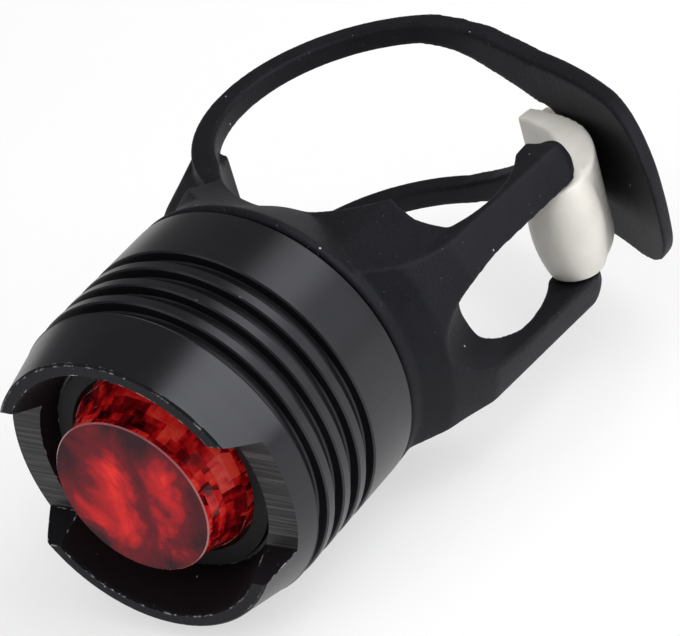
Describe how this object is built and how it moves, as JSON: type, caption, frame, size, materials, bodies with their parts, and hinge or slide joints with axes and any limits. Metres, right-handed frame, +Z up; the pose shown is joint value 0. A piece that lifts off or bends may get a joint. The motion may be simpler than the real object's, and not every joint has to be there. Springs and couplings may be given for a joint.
{
  "type": "bicycle rear light",
  "caption": "Round aluminium bicycle rear light with cooling fins and a push-button red lens, on a rubber saddle whose open strap hooks round a seat post.",
  "frame": {"origin": "on the axis of the seat post that the saddle fits, at mid height of the saddle", "axes": "+Z up along the seat post, -Y along the lamp axis out through the lens, +X to the hook side"},
  "size_m": [0.0456, 0.0643, 0.031],
  "materials": {
    "rubber": "matte black silicone rubber",
    "seal_rubber": "soft black rubber",
    "black_aluminium": "black anodised, satin, turned",
    "steel": "plain steel",
    "cell_steel": "nickel-plated steel can",
    "contact_brass": "stamped brass",
    "sleeve_plastic": "natural plastic",
    "black_plastic": "moulded, matte",
    "white_nylon": "warm white nylon, satin",
    "board_green": "green solder mask",
    "led_plastic": "clear resin dome on a white base",
    "reflector_chrome": "vacuum metallised",
    "switch_orange": "moulded",
    "red_lens": "clear red polycarbonate, faceted"
  },
  "bodies": {
    "mount_base": {"cradle": "rubber", "hook_pin": "steel", "base_cup": "black_aluminium", "base_contact": "contact_brass", "cell_rear": "cell_steel", "cell_front": "cell_steel", "cell_sleeve": "sleeve_plastic", "body_seal": "seal_rubber"},
    "strap_middle": {"strap_mid": "rubber"},
    "strap_end": {"strap_tail": "rubber"},
    "hook_body": {"hook": "white_nylon"},
    "light_module": {"module_carrier": "black_plastic", "circuit_board": "board_green", "led_emitter": "led_plastic", "reflector": "reflector_chrome", "switch_body": "black_plastic", "driver_chip": "black_plastic", "front_contact": "contact_brass", "board_screws": "steel"},
    "head": {"head_shell": "black_aluminium", "snap_ring": "steel", "lens_bezel": "black_plastic"},
    "lens_button": {"lens": "red_lens", "lens_seal": "seal_rubber"},
    "plunger": {"switch_plunger": "switch_orange"}
  },
  "joints": [
    {"name": "strap_root_bend", "type": "hinge", "parent": "mount_base", "child": "strap_middle", "pos_m": [-0.01744, 0.0022, 0], "axis": [0, 0, 1], "range_deg": [0, 48], "stiffness_Nm_per_rad": 0.01},
    {"name": "strap_open", "type": "hinge", "parent": "strap_middle", "child": "strap_end", "pos_m": [-0.00896, 0.01782, 0], "axis": [0, 0, 1], "range_deg": [0, 80], "stiffness_Nm_per_rad": 0.01},
    {"name": "hook_swing", "type": "hinge", "parent": "mount_base", "child": "hook_body", "pos_m": [0.018, 0.003, 0], "axis": [0, 0, 1], "range_deg": [0, 35]},
    {"name": "module_slide", "type": "slide", "parent": "mount_base", "child": "light_module", "axis": [0, -1, 0], "range_m": [0, 0.00375]},
    {"name": "head_turn", "type": "hinge", "parent": "light_module", "child": "head", "pos_m": [0, -0.03, 0], "axis": [0, 1, 0], "range_deg": [0, 900]},
    {"name": "lens_press", "type": "slide", "parent": "light_module", "child": "lens_button", "axis": [0, 1, 0], "range_m": [0, 0.0006], "stiffness_N_per_m": 800, "springref_m": -0.0005},
    {"name": "plunger_press", "type": "slide", "parent": "light_module", "child": "plunger", "axis": [0, 1, 0], "range_m": [0, 0.0005]}
  ],
  "couplings": [
    {"joint": "strap_root_bend", "follows": "strap_open", "ratio": 0.6},
    {"joint": "head_turn", "follows": "module_slide", "rad_per_m": 4188.8},
    {"joint": "plunger_press", "follows": "lens_press", "ratio": 0.8}
  ]
}
